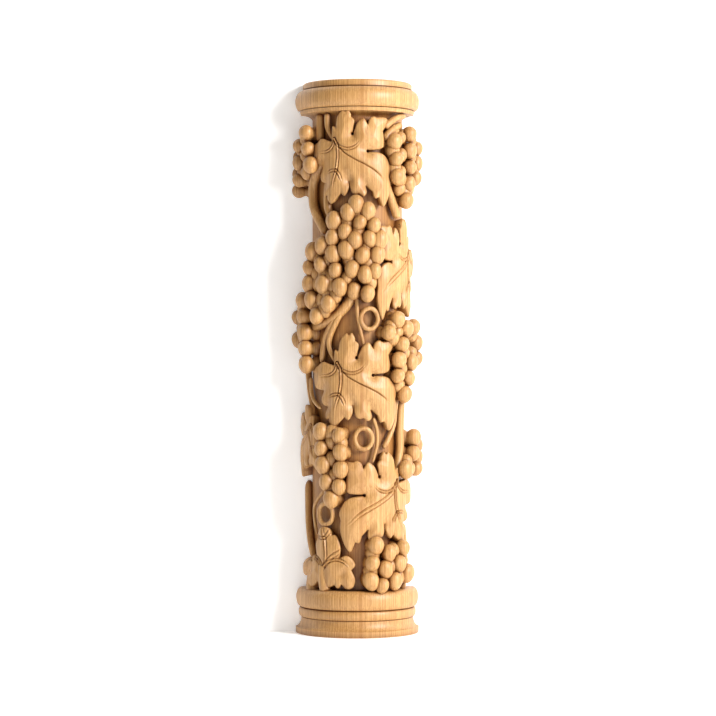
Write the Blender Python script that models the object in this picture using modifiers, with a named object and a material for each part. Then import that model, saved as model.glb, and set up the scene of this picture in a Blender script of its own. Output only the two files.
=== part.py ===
"""Half column carved from one block of wood: vine leaves, grapes and tendrils wind up a shaft
between a turned base and a turned capital. The back is sawn flat along the axis.

Metres, +Z up. The carved side faces -Y and the flat back faces +Y. The origin is on the
underside, midway between the front of the base and the back.
"""
import math

import bmesh
import bpy
from mathutils import Matrix, Vector

# Height of the whole column
HEIGHT = 0.720

# Base, from the floor up
PLINTH_RADIUS = 0.0810
PLINTH_HEIGHT = 0.0083
SCOTIA_HEIGHT = 0.0132
SCOTIA_DEPTH = 0.0075
BEAD_RADIUS = 0.0771
BEAD_HEIGHT = 0.0130
BEAD_BULGE = 0.0034
BASE_ROLL_RADIUS = 0.0804
BASE_ROLL_HEIGHT = 0.0252
BASE_ROLL_BULGE = 0.0055
BASE_ROLL_SHOULDER = 0.0085

# Capital, from the top down; the disc and the fillet are set in from the widest line of the roll
TOP_DISC_SET_IN = 0.0100
TOP_DISC_HEIGHT = 0.0085
TOP_DISC_ROUND = 0.0025
CAPITAL_ROLL_RADIUS = 0.0817
CAPITAL_ROLL_HEIGHT = 0.0272
CAPITAL_ROLL_BULGE = 0.0065
FILLET_SET_IN = 0.0095
FILLET_HEIGHT = 0.0058
COVE_HEIGHT = 0.0070

# Shaft and how far each kind of carving stands out from its ground
GROUND_RADIUS = 0.0590
LEAF_RISE = 0.0125
LEAF_CROWN = 0.0035
BERRY_CENTRE_RISE = 0.0180
BERRY_WIDTH = 0.0190
BERRY_ROUND_BACK = 0.0019
ROOT_DEPTH = 0.0040
FOOT_DEPTH = 0.0010

# Leaves: distance from the stalk to the farthest tip, and the stripes in which a flat leaf bends
# round the shaft and rises to its crown
LEAF_REACH = 0.118
LOBE_TIP_WIDTH = 0.010
BEND_STRIPE = 0.020
CROWN_STRIPE = 0.038

# Stems and tendrils: width across, and height of the crest over the ground
VINE_WIDTH = 0.0125
VINE_RISE = 0.0100
STALK_WIDTH = 0.0085
STALK_RISE = 0.0100
TENDRIL_WIDTH = 0.0048
TENDRIL_RISE = 0.0095
RING_WIDTH = 0.0265
RING_HEIGHT = 0.0330

# How far the block that saws the back flat stands out past the wood
SAW_MARGIN = 0.020

# Fineness of the facets, and the angles that tell an edge of a leaf and a crease from a round face
TURNING_STEPS = 24
ARC_STEPS = 3
ROUTE_STEPS = 2
RING_SIDES = 10
BERRY_SIDES = 6
BERRY_RINGS = 4
FLAT_ANGLE = math.radians(1)
LEAF_EDGE_ANGLE = math.radians(60)
CREASE_ANGLE = math.radians(38)

WOOD_COLOUR = (0.63, 0.39, 0.19, 1.0)
WOOD_ROUGHNESS = 0.5

BASE_HEIGHT = PLINTH_HEIGHT + SCOTIA_HEIGHT + BEAD_HEIGHT + BASE_ROLL_HEIGHT
CAPITAL_HEIGHT = TOP_DISC_HEIGHT + CAPITAL_ROLL_HEIGHT + FILLET_HEIGHT + COVE_HEIGHT
SHAFT_LENGTH = HEIGHT - BASE_HEIGHT - CAPITAL_HEIGHT

# One vine leaf by its lobes, anticlockwise from the stalk. A tooth is its direction in degrees
# and its reach as a share of LEAF_REACH; the gap after the lobe is given in the same way.
LEAF_LOBES = (
    (((104, 0.16), (69, 0.36), (56, 0.38), (40, 0.31)), (24, 0.25)),
    (((31, 0.44), (25, 0.58), (15, 0.72), (-6, 0.64)), (-13, 0.46)),
    (((-19, 0.66), (-27, 0.84), (-40, 0.92), (-52, 1.00)), (-57, 0.65)),
    (((-63, 0.73), (-72, 0.64), (-82, 0.66), (-94, 0.73), (-105, 0.63)), (-113, 0.50)),
    (((-124, 0.46), (-140, 0.42), (-155, 0.38), (-172, 0.32)), (-205, 0.07)),
)
TOOTH_GAP = 0.88

# Each leaf: turn of its stalk end from the front in degrees, height as a share of the shaft, width
# and length against a full leaf, lean in degrees, whether it is mirrored, and how many lobes show
LEAVES = (
    (-24, 0.953, 1.00, 1.00, 0, False, 5),
    (66, 0.718, 0.66, 0.96, -6, True, 5),
    (-21, 0.481, 1.00, 1.00, 0, False, 5),
    (-56, 0.350, 0.66, 0.72, -8, True, 5),
    (45, 0.232, 0.96, 1.00, -3, True, 5),
    (-38, 0.044, 0.50, 0.62, 180, True, 5),
    (36, 0.962, 0.62, 0.66, 0, False, 2),
    (-38, 0.047, 0.72, 0.70, 180, False, 2),
)

# Each bunch of grapes: length of a berry against its width, then its strings of berries.
# A string: how many, turn and height of the first and of the last, and sideways swing between
BUNCHES = (
    (1.05, ((3, -60, 0.969, -52, 0.900, 0), (5, -83, 0.941, -64, 0.846, -4))),
    (1.08, ((3, 39, 0.948, 43, 0.874, 0), (5, 62, 0.967, 56, 0.825, 3), (3, 88, 0.941, 78, 0.876, 4))),
    (1.25, ((4, -9, 0.796, -5, 0.678, -5), (3, -1, 0.813, -2, 0.738, 4), (3, 10, 0.799, 22, 0.739, 0),
            (3, 12, 0.741, 17, 0.674, 5), (3, 5, 0.706, 10, 0.626, 0), (5, -23, 0.779, -17, 0.640, -4),
            (4, -36, 0.728, -29, 0.605, -4), (5, -49, 0.716, -43, 0.580, -8))),
    (1.15, ((5, -67, 0.613, -60, 0.477, 0), (2, -90, 0.578, -90, 0.530, 0))),
    (1.10, ((2, 43, 0.572, 32, 0.544, 0), (4, 56, 0.553, 43, 0.453, -3), (3, 72, 0.557, 90, 0.490, 8),
            (3, 65, 0.481, 53, 0.414, 0))),
    (1.20, ((5, -38, 0.335, -26, 0.194, -3), (4, -18, 0.328, -18, 0.220, 2))),
    (1.15, ((3, 74, 0.321, 55, 0.254, 6), (3, 90, 0.303, 84, 0.254, 0))),
    (1.20, ((3, 19, 0.095, 14, 0.024, -1), (3, 35, 0.079, 27, 0.013, -1), (2, 48, 0.053, 44, 0.018, 0),
            (3, 49, 0.090, 60, 0.019, 4))),
)

# Routes of the stems, as turn in degrees and height as a share of the shaft
VINES = (
    ((-49, 1.010), (-50, 0.985), (-49, 0.954)),
    ((-6, 0.661), (-7, 0.619), (-20, 0.588), (-41, 0.567), (-90, 0.547)),
    ((-50, 0.915), (-66, 0.865), (-67, 0.815), (-52, 0.752)),
    ((62, 0.395), (54, 0.345), (39, 0.285)),
    ((74, 0.420), (72, 0.350), (65, 0.280), (52, 0.235)),
    ((-90, 0.228), (-86, 0.163), (-76, 0.111), (-60, 0.060)),
)
STALKS = (
    ((-36, 1.010), (-35, 0.977), (-24, 0.945)),
    ((-24, 0.583), (-40, 0.529), (-45, 0.480)),
    ((-18, 0.590), (-34, 0.525), (-23, 0.478)),
    ((40, 0.870), (52, 0.831), (67, 0.798)),
    ((-86, 0.529), (-79, 0.450), (-60, 0.372)),
)
TENDRILS = (
    ((-2, 0.657), (0, 0.592), (2, 0.564), (7, 0.516)),
    ((18, 0.360), (22, 0.339), (22, 0.306), (18, 0.276)),
    ((-34, 0.218), (-56, 0.174), (-51, 0.117)),
)
RINGS = ((15, 0.574), (7, 0.321), (-41, 0.161))


def shaft_height(share):
    return BASE_HEIGHT + share * SHAFT_LENGTH


def quarter(start, end, outward_first):
    """Quarter of an ellipse between two profile points, leaving the start level or upright."""
    points = []
    for step in range(1, ARC_STEPS + 1):
        angle = math.pi / 2 * step / ARC_STEPS
        near, far = math.sin(angle), 1 - math.cos(angle)
        across, along = (near, far) if outward_first else (far, near)
        points.append((start[0] + (end[0] - start[0]) * across, start[1] + (end[1] - start[1]) * along))
    return points


def roll(low, height, radius, bulge_high, bulge_low):
    """Rounded moulding, from its top edge over its widest line to its bottom edge."""
    top = (radius - bulge_high, low + height)
    middle = (radius, low + height / 2)
    bottom = (radius - bulge_low, low)
    return [top] + quarter(top, middle, True) + quarter(middle, bottom, False)


def column_profile():
    """Radius and height down the outside, from the middle of the top to the middle of the underside."""
    disc_low = HEIGHT - TOP_DISC_HEIGHT
    roll_low = disc_low - CAPITAL_ROLL_HEIGHT
    fillet_low = roll_low - FILLET_HEIGHT
    cove_low = fillet_low - COVE_HEIGHT
    base_roll_low = BASE_HEIGHT - BASE_ROLL_HEIGHT
    bead_low = base_roll_low - BEAD_HEIGHT
    disc_radius = CAPITAL_ROLL_RADIUS - TOP_DISC_SET_IN
    fillet_radius = CAPITAL_ROLL_RADIUS - FILLET_SET_IN

    points = [(0, HEIGHT), (disc_radius - TOP_DISC_ROUND, HEIGHT)]
    points += quarter(points[-1], (disc_radius, HEIGHT - TOP_DISC_ROUND), True)
    points += [(disc_radius, disc_low)]
    points += roll(roll_low, CAPITAL_ROLL_HEIGHT, CAPITAL_ROLL_RADIUS,
                   TOP_DISC_SET_IN + TOP_DISC_ROUND, CAPITAL_ROLL_BULGE)
    points += [(fillet_radius, roll_low), (fillet_radius, fillet_low)]
    points += quarter(points[-1], (GROUND_RADIUS, cove_low), True)
    points += [(GROUND_RADIUS, BASE_HEIGHT)]
    points += roll(base_roll_low, BASE_ROLL_HEIGHT, BASE_ROLL_RADIUS, BASE_ROLL_SHOULDER, BASE_ROLL_BULGE)
    points += roll(bead_low, BEAD_HEIGHT, BEAD_RADIUS, BEAD_BULGE, BEAD_BULGE)
    points += quarter((PLINTH_RADIUS - SCOTIA_DEPTH, bead_low), (PLINTH_RADIUS, PLINTH_HEIGHT), False)
    points += [(PLINTH_RADIUS, 0), (0, 0)]
    return points


def link(name, data, collection):
    made = bpy.data.objects.new(name, data)
    collection.objects.link(made)
    return made


def mark_as_guide(guide):
    guide.hide_render = True
    guide.display_type = "WIRE"


def turned_column(collection):
    """The turned blank: one profile spun about the upright axis."""
    profile = column_profile()
    mesh = bpy.data.meshes.new("half_column")
    mesh.from_pydata([(radius, 0, height) for radius, height in profile],
                     [(i, i + 1) for i in range(len(profile) - 1)], [])
    column = link("half_column", mesh, collection)
    screw = column.modifiers.new("turning", "SCREW")
    screw.axis = "Z"
    screw.steps = TURNING_STEPS
    screw.render_steps = TURNING_STEPS
    screw.use_merge_vertices = True
    screw.merge_threshold = 0.00001
    return column


def wrap_on_shaft(mesh, turn, share, radius):
    """Bend a flat carving, drawn with X across, Y up and Z outwards, round the shaft."""
    for vertex in mesh.vertices:
        across, up, out = vertex.co
        angle = math.radians(turn) + across / radius
        reach = GROUND_RADIUS + out
        vertex.co = (reach * math.sin(angle), -reach * math.cos(angle), shaft_height(share) + up)


def mesh_from_curve(curve, collection):
    """Closed mesh object of a curve with its loose caps welded on."""
    drawn = link(curve.name, curve, collection)
    evaluated = drawn.evaluated_get(bpy.context.evaluated_depsgraph_get())
    mesh = bpy.data.meshes.new_from_object(evaluated)
    edit = bmesh.new()
    edit.from_mesh(mesh)
    bmesh.ops.remove_doubles(edit, verts=edit.verts, dist=0.00001)
    edit.to_mesh(mesh)
    edit.free()
    solid = link(curve.name, mesh, collection)
    solid.matrix_world = drawn.matrix_world
    bpy.data.objects.remove(drawn)
    mark_as_guide(solid)
    return solid


def leaf_outline(width, height, lean, mirrored, lobes):
    """Corners of a leaf in metres round the end of its stalk: teeth, gaps and one blunt tip a lobe."""
    corners = []
    for teeth, gap in LEAF_LOBES[:lobes]:
        longest = max(reach for direction, reach in teeth)
        for number, (direction, reach) in enumerate(teeth):
            if number:
                before_direction, before_reach = teeth[number - 1]
                corners.append(((before_direction + direction) / 2, TOOTH_GAP * (before_reach + reach) / 2))
            if reach == longest:
                half = math.degrees(LOBE_TIP_WIDTH / 2 / (reach * LEAF_REACH))
                corners += [(direction + half, reach), (direction - half, reach)]
            else:
                corners.append((direction, reach))
        corners.append(gap)
    side = -1 if mirrored else 1
    outline = []
    for direction, reach in corners:
        angle = math.radians(direction + lean)
        length = reach * LEAF_REACH
        outline.append((side * width * length * math.cos(angle), height * length * math.sin(angle)))
    return outline


def plate(name, outline, rise, crown, turn, share, collection):
    """A carving with upright edges and a raised middle, drawn flat as a closed outline of corners,
    then bent round the shaft and rooted in it."""
    curve = bpy.data.curves.new(name, "CURVE")
    curve.dimensions = "2D"
    curve.fill_mode = "BOTH"
    curve.extrude = (rise + ROOT_DEPTH) / 2
    spline = curve.splines.new("POLY")
    spline.points.add(len(outline) - 1)
    spline.use_cyclic_u = True
    for point, (x, y) in zip(spline.points, outline):
        point.co = (x, y, 0, 1)
    solid = mesh_from_curve(curve, collection)
    edit = bmesh.new()
    edit.from_mesh(solid.data)
    bmesh.ops.dissolve_limit(edit, angle_limit=FLAT_ANGLE, verts=edit.verts, edges=edit.edges)
    bmesh.ops.translate(edit, verts=edit.verts, vec=(0, 0, (rise - ROOT_DEPTH) / 2))
    for axis, spacing in ((Vector((1, 0, 0)), BEND_STRIPE), (Vector((0, 1, 0)), CROWN_STRIPE)):
        reach = max(abs(Vector(corner).dot(axis.xy)) for corner in outline)
        stripes = math.ceil(reach / spacing)
        for stripe in range(-stripes, stripes + 1):
            everything = edit.verts[:] + edit.edges[:] + edit.faces[:]
            bmesh.ops.bisect_plane(edit, geom=everything, dist=0.00001,
                                   plane_co=axis * stripe * spacing, plane_no=axis)
    bmesh.ops.triangulate(edit, faces=edit.faces)
    for vertex in edit.verts:
        on_edge = any(edge.calc_face_angle(0) > LEAF_EDGE_ANGLE for edge in vertex.link_edges)
        if vertex.co.z > 0 and not on_edge:
            vertex.co.z += crown
    edit.to_mesh(solid.data)
    edit.free()
    wrap_on_shaft(solid.data, turn, share, GROUND_RADIUS + rise)


def smooth_route(knots, steps):
    """Points along a smooth line through the knots."""
    route = []
    last = len(knots) - 1
    for i in range(last):
        before, start, end, after = knots[max(i - 1, 0)], knots[i], knots[i + 1], knots[min(i + 2, last)]
        for step in range(steps):
            t = step / steps
            route.append([
                ((2 * start[k]) + (end[k] - before[k]) * t
                 + (2 * before[k] - 5 * start[k] + 4 * end[k] - after[k]) * t ** 2
                 + (3 * start[k] - before[k] - 3 * end[k] + after[k]) * t ** 3) / 2
                for k in (0, 1)])
    route.append(knots[last])
    return route


def ridge(name, points, closed, width, rise, collection):
    """A raised round-topped line, with upright sides down into the ground, along points in metres."""
    crest_middle = rise - width / 2
    foot_middle = -FOOT_DEPTH
    curve = bpy.data.curves.new(name, "CURVE")
    curve.dimensions = "3D"
    curve.twist_mode = "Z_UP"
    curve.fill_mode = "FULL"
    curve.use_fill_caps = True
    curve.bevel_depth = width / 2
    curve.bevel_resolution = 0
    curve.extrude = (crest_middle - foot_middle) / 2
    spline = curve.splines.new("POLY")
    spline.points.add(len(points) - 1)
    spline.use_cyclic_u = closed
    for point, (x, y) in zip(spline.points, points):
        point.co = (x, y, (crest_middle + foot_middle) / 2, 1)
    solid = mesh_from_curve(curve, collection)
    wrap_on_shaft(solid.data, 0, 0, GROUND_RADIUS + rise)


def stem(name, knots, width, rise, collection):
    radius = GROUND_RADIUS + rise
    route = smooth_route(knots, ROUTE_STEPS)
    points = [(math.radians(turn) * radius, share * SHAFT_LENGTH) for turn, share in route]
    ridge(name, points, False, width, rise, collection)


def tendril_ring(name, turn, share, collection):
    """A tendril curled into a ring."""
    radius = GROUND_RADIUS + TENDRIL_RISE
    points = []
    for side in range(RING_SIDES):
        angle = 2 * math.pi * side / RING_SIDES
        points.append((math.radians(turn) * radius + (RING_WIDTH - TENDRIL_WIDTH) / 2 * math.cos(angle),
                       share * SHAFT_LENGTH + (RING_HEIGHT - TENDRIL_WIDTH) / 2 * math.sin(angle)))
    ridge(name, points, True, TENDRIL_WIDTH, TENDRIL_RISE, collection)


def berry_mesh():
    """A ball whose inner half runs straight back into the shaft, with its round face at -Y."""
    mesh = bpy.data.meshes.new("berry")
    edit = bmesh.new()
    bmesh.ops.create_uvsphere(edit, u_segments=BERRY_SIDES, v_segments=BERRY_RINGS, radius=BERRY_WIDTH / 2,
                              matrix=Matrix.Rotation(math.pi / 2, 4, "X"))
    for vertex in edit.verts:
        if vertex.co.y > BERRY_ROUND_BACK:
            outwards = Vector((vertex.co.x, 0, vertex.co.z))
            if outwards.length > BERRY_ROUND_BACK:
                outwards.length = BERRY_WIDTH / 2
            vertex.co = (outwards.x, BERRY_CENTRE_RISE + ROOT_DEPTH, outwards.z)
    edit.to_mesh(mesh)
    edit.free()
    return mesh


def string_of_berries(count, turn_1, share_1, turn_2, share_2, swing):
    """Turn and height share of each berry of a string."""
    for number in range(count):
        t = number / (count - 1)
        turn = turn_1 + (turn_2 - turn_1) * t + swing * math.sin(math.pi * t)
        yield turn, share_1 + (share_2 - share_1) * t


def bunches(collection):
    """Every berry of every string, placed by its turn and height."""
    mesh = berry_mesh()
    radius = GROUND_RADIUS + BERRY_CENTRE_RISE
    for bunch, (length, strings) in enumerate(BUNCHES):
        berries = [berry for string in strings for berry in string_of_berries(*string)]
        for number, (turn, share) in enumerate(berries):
            angle = math.radians(turn)
            berry = link(f"berry_{bunch + 1}_{number + 1}", mesh, collection)
            berry.location = (radius * math.sin(angle), -radius * math.cos(angle), shaft_height(share))
            berry.rotation_euler.z = angle
            berry.scale.z = length
            mark_as_guide(berry)


def back_cutter(collection):
    """A block over everything behind the axis."""
    bpy.ops.mesh.primitive_cube_add(size=1)
    cutter = bpy.context.object
    cutter.name = "back_cutter"
    for owner in cutter.users_collection:
        owner.objects.unlink(cutter)
    collection.objects.link(cutter)
    widest = max(PLINTH_RADIUS, CAPITAL_ROLL_RADIUS, GROUND_RADIUS + BERRY_CENTRE_RISE + BERRY_WIDTH)
    reach = widest + SAW_MARGIN
    cutter.scale = (2 * reach, reach, HEIGHT + 2 * SAW_MARGIN)
    cutter.location = (0, reach / 2, HEIGHT / 2)
    mark_as_guide(cutter)
    return cutter


def finish_body(column):
    """The finished body as one mesh, with its round faces smooth and its creases sharp."""
    evaluated = column.evaluated_get(bpy.context.evaluated_depsgraph_get())
    body = bpy.data.meshes.new_from_object(evaluated)
    body.name = column.name
    body.shade_smooth()
    body.set_sharp_from_angle(angle=CREASE_ANGLE)
    column.modifiers.clear()
    column.data = body


def wood():
    material = bpy.data.materials.new("carved_wood")
    material.use_nodes = True
    shader = material.node_tree.nodes["Principled BSDF"]
    shader.inputs["Base Color"].default_value = WOOD_COLOUR
    shader.inputs["Roughness"].default_value = WOOD_ROUGHNESS
    shader.inputs["Metallic"].default_value = 0.0
    return material


def build():
    for old in list(bpy.data.objects):
        bpy.data.objects.remove(old)
    parts = bpy.data.collections.new("carved_half_column")
    carvings = bpy.data.collections.new("carvings")
    cutters = bpy.data.collections.new("cutters")
    for collection in (parts, carvings, cutters):
        bpy.context.scene.collection.children.link(collection)

    column = turned_column(parts)
    for number, (turn, share, width, height, lean, mirrored, lobes) in enumerate(LEAVES):
        outline = leaf_outline(width, height, lean, mirrored, lobes)
        plate(f"leaf_{number + 1}", outline, LEAF_RISE, LEAF_CROWN, turn, share, carvings)
    for number, knots in enumerate(VINES):
        stem(f"vine_{number + 1}", knots, VINE_WIDTH, VINE_RISE, carvings)
    for number, knots in enumerate(STALKS):
        stem(f"stalk_{number + 1}", knots, STALK_WIDTH, STALK_RISE, carvings)
    for number, knots in enumerate(TENDRILS):
        stem(f"tendril_{number + 1}", knots, TENDRIL_WIDTH, TENDRIL_RISE, carvings)
    for number, (turn, share) in enumerate(RINGS):
        tendril_ring(f"ring_{number + 1}", turn, share, carvings)
    bunches(carvings)

    union = column.modifiers.new("carving", "BOOLEAN")
    union.operation = "UNION"
    union.operand_type = "COLLECTION"
    union.collection = carvings
    union.solver = "EXACT"
    sawn = column.modifiers.new("sawn_back", "BOOLEAN")
    sawn.operation = "DIFFERENCE"
    sawn.object = back_cutter(cutters)
    sawn.solver = "EXACT"
    sawn.use_self = True
    finish_body(column)
    column.data.materials.clear()
    column.data.materials.append(wood())

    axis = link("column_axis", None, parts)
    axis.location.y = PLINTH_RADIUS / 2
    for made in parts.objects[:] + carvings.objects[:] + cutters.objects[:]:
        if made != axis:
            made.parent = axis


build()
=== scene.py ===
"""Looks of the carved half column: vine leaves, grapes and tendrils on a turned shaft, all carved
from one block of pale wood and fine sanded, in front of a white wall."""

import itertools
import math

import bpy
import numpy as np
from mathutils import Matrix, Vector


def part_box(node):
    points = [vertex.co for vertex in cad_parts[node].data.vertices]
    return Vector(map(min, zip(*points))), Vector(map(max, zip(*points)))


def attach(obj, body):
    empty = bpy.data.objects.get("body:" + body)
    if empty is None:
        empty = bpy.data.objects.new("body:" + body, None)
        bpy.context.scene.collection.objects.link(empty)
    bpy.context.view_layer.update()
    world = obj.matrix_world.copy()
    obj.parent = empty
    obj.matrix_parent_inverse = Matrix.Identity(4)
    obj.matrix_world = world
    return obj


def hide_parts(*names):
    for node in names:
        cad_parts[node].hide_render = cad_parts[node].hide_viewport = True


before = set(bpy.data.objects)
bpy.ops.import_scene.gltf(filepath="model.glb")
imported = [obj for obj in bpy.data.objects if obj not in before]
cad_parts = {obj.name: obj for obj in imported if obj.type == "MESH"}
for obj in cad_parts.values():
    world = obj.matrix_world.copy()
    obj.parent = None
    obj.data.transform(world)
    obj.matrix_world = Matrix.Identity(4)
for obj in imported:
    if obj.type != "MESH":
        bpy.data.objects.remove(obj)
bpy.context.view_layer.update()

MM = 0.001

# What the frame gives: the height of the column and the plane of its sawn back
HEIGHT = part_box("half_column")[1].z
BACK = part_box("half_column")[1].y

# Camera: distance from the sawn back, eye height, sideways offset and field, from the photograph
CAMERA_DISTANCE = 3.097
CAMERA_HEIGHT = 0.3601
CAMERA_ASIDE = 0.001
CAMERA_LENS = 118.2
CAMERA_SENSOR = 36
# The key light in metres and watts, the sky light, and how wide the floor and the wall are
KEY_PLACE = (1.92, -1.68, 1.30)
KEY_SIZE = 0.8
KEY_POWER = 100
KEY_COLOUR = "#FFFFFF"
SKY_COLOUR = "#FFF0DA"
SKY_STRENGTH = 0.17
STAGE_SIZE = 8

# Turned mouldings in mm, measured from the floor for the base and from the top for the capital
PLINTH_RADIUS = 81.0
PLINTH_HEIGHT = 8.3
PLINTH_SET_IN = 0.4
FOOT_EDGE = 0.6
SCOTIA_NECK = 73.6
BEAD_LOW = 21.5
BEAD_RADIUS = 77.1
BEAD_SHOULDER = 74.1
BASE_ROLL_LOW = 34.7
BASE_ROLL_RADIUS = 80.4
BASE_ROLL_FOOT = 75.4
BASE_ROLL_HIGH = 59.7
BASE_ROLL_SHOULDER = 72.0
COVE_DEPTH = 48.5
COVE_RADIUS = 73.0
FILLET_DEPTH = 41.4
FILLET_RADIUS = 74.0
FILLET_SHOULDER = 75.5
CAPITAL_ROLL_DEPTH = 35.7
CAPITAL_ROLL_RADIUS = 81.7
CAPITAL_ROLL_FOOT = 75.7
DISC_DEPTH = 8.5
DISC_RADIUS = 71.9
DISC_ROUND = 3.0
# Width of the lines cut between the mouldings, and of a broken edge
TOOL_LINE = 0.9
SHARP_EDGE = 0.5
TURNING_SIDES = 192
ARC_STEPS = 9

# How much light the white studio paint gives off by itself, so that the wall shows white
WALL_GLOW = 0.24

# Carving in mm: the ground of the shaft and how far the leaves and the grapes stand out from it
GROUND_RADIUS = 59.0
LEAF_RISE = 13.0
LEAF_RIM = 1.7
LEAF_ROOT = 9.0
LEAF_UNDERCUT = 6.5
LEAF_CELL = 0.65
# A leaf's face rises to its crown over this distance from the rim, steeply at first
LEAF_CROWN = 3.8
CROWN_REACH = 16.0
CROWN_CURVE = 0.7
# The board that a leaf is cut from and the pattern that trims it
BOARD_DEPTH = 10.0
PATTERN_DEPTH = 8.0
# A berry: where its centre stands over the ground, its width and how deep its root goes
BERRY_CENTRE_RISE = 18.0
BERRY_WIDTH = 19.0
BERRY_ROOT = 3.0
BERRY_SIDES = 28
BERRY_RINGS = 24
# Nearer to its axis than this share of its half width, a berry keeps its points in place
BERRY_AXIS = 0.01
# Behind its middle a berry narrows to a waist, where a hidden berry of the inner layer carries it:
# how far back, as a share of the way to its root, and how wide against the berry
BERRY_SHOULDER = 0.3
BERRY_WAIST_AT = (0, 0.14, 0.26, 0.34, 0.42, 0.55, 0.72, 1)
BERRY_WAIST = (0.955, 0.87, 0.74, 0.64, 0.74, 0.90, 0.98, 0.96)
# An inner berry fills each gap between two outer ones: how far apart the two may be and how far off
# it keeps from all others, as shares of a berry's width, how much deeper it sits in mm, and its size
INNER_REACH = 2.3
INNER_CLEAR = 0.58
INNER_DEPTH = 6.5
INNER_SIZE = 0.92
# A berry narrows towards its lower end by this share, and leans to one side or the other in
# degrees, in turn
BERRY_TAPER = 0.09
LEAN_RHYTHM = (0, 12, -14, 7, -5, 16, -9, 3)

# Outline of one vine leaf in mm round the end of its stalk, clockwise, lobe by lobe. Corners that
# stand out are rounded, and corners that cut in stay sharp.
LEAF_LOBES = (
    ((-5, 18), (1, 15), (3.5, 30), (12.5, 39), (16, 35.5), (20, 40), (25, 31.5), (24.5, 28.5), (30.5, 24),
     (28.3, 15), (26.5, 5)),
    ((30.8, 14), (33.5, 20.5), (43.2, 28.3), (49.5, 18.5), (51.5, 26), (58.2, 29.8), (63, 27.5), (73, 28.5),
     (81.7, 27.2), (79.5, 18), (73, 10), (76, -3), (74, -13), (50, -16)),
    ((75, -18), (87.2, -35), (84.5, -47), (87, -57), (82, -78), (73, -91), (66, -76), (59.6, -78),
     (56, -68), (47, -61)),
    ((49, -70), (43.2, -76.5), (36, -71.5), (30, -73), (25, -69.5), (21, -55)),
    ((22.5, -63), (15.5, -76), (9.5, -70.5), (5, -75), (-5.6, -86), (-12.5, -78), (-12.7, -73), (-18, -74),
     (-19, -64), (-17, -57)),
    ((-24, -55), (-26, -46), (-23.5, -36), (-37, -34), (-40, -20), (-37.5, -6.5), (-32, -4), (-24, 2),
     (-14, -1), (-5, -3)),
)
WHOLE_LEAF = sum(LEAF_LOBES, ())
TWO_LOBES = sum(LEAF_LOBES[:2], ())
# Outlines of the two leaves at the foot of the vine: a rounder one that spreads to the right and a
# folded one that curls round to the left
ROUND_LEAF = (
    (-5, 1), (0, 13), (3, 21), (9, 24), (17, 20), (22, 25.5), (27, 19), (34, 26), (43, 23), (46, 12),
    (40, 0), (46, -6), (42, -14), (33, -20), (23, -15), (26, -27), (23, -38), (17, -46), (12, -44.5),
    (10, -53), (2, -56), (-6, -54), (-11, -47), (-10, -42), (-16, -34), (-14, -21), (-10, -8),
)
FOLDED_LEAF = (
    (-4, -4), (4, -11), (14, -13), (22, -8), (31, -13), (43, -10), (52, -2), (51, 8), (45, 13), (34, 12),
    (36, 20), (28, 26), (16, 25), (9, 18), (5, 25), (-3, 20),
)
# How much of the way to its neighbours a corner is rounded, and in how many steps
CORNER_SHARE = 0.45
CORNER_STEPS = 5
# Shallow valleys that run from the deep gaps towards the stalk, and how much shallower they end
LEAF_VALLEYS = (
    ((26.5, 5), (13, 0)), ((50, -16), (24, -8)), ((47, -61), (26, -34)), ((21, -55), (9, -26)),
    ((-17, -57), (-7, -28)), ((-26, -36), (-11, -16)),
)
VALLEY_DEPTH = 3.4
VALLEY_WIDTH = 7.0
VALLEY_FADE = 0.8
# Veins: a raised rib between two cut lines, or one cut line alone. The long vein is one cut line,
# or on the mirrored leaves a broader rib. They fade out over the last third or quarter.
LEAF_RIBS = (
    ((0, 0), (7, -9), (19.5, -13.4), (31, -10), (39, -1)),
    ((0, 0), (5, -10), (6, -23), (3.3, -41), (-1, -54), (-3, -66)),
    ((3.3, -41), (-4, -41), (-12, -44)),
    ((3.3, -41), (8, -47), (11, -56)),
    ((0, 0), (-3, -10), (-11, -15.8), (-29, -17)),
)
LONG_VEIN = ((4, -5), (14, -17), (30, -26.5), (48, -35), (63, -44), (76, -56))
SIDE_CUT = ((50, -16), (60, -15.5), (70, -14))
CUT_DEPTH = 2.4
CUT_WIDTH = 0.9
CUT_FADE = 4
RIB_HEIGHT = 0.8
RIB_CUT_DEPTH = 1.5
RIB_CUT_WIDTH = 0.75
RIB_SPACING = 1.7
LONG_RIB_SPACING = 2.6
RIB_FADE = 3
RIB_CLOSING = 0.45
# Drilled eyes at the ends of the deep gaps
LEAF_EYES = ((26.5, 6.5), (50, -16))
EYE_RADIUS = 2.1
EYE_DEPTH = 7.0

# Each leaf: turn of its stalk end from the front in degrees, height as a share of the shaft, width
# and length against a full leaf, lean in degrees, whether it is mirrored, and its outline
LEAVES = (
    (-24, 0.953, 0.89, 1.00, 0, False, WHOLE_LEAF),
    (66, 0.722, 0.66, 1.05, 0, True, WHOLE_LEAF),
    (-21, 0.481, 0.96, 1.00, 0, False, WHOLE_LEAF),
    (-56, 0.350, 0.66, 0.72, -8, True, WHOLE_LEAF),
    (45, 0.232, 0.96, 1.00, -3, True, WHOLE_LEAF),
    (-38, 0.044, 1.00, 1.00, 180, True, ROUND_LEAF),
    (36, 0.955, 0.60, 0.50, 0, False, TWO_LOBES),
    (-38, 0.047, 1.00, 1.00, 180, False, FOLDED_LEAF),
)

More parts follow.
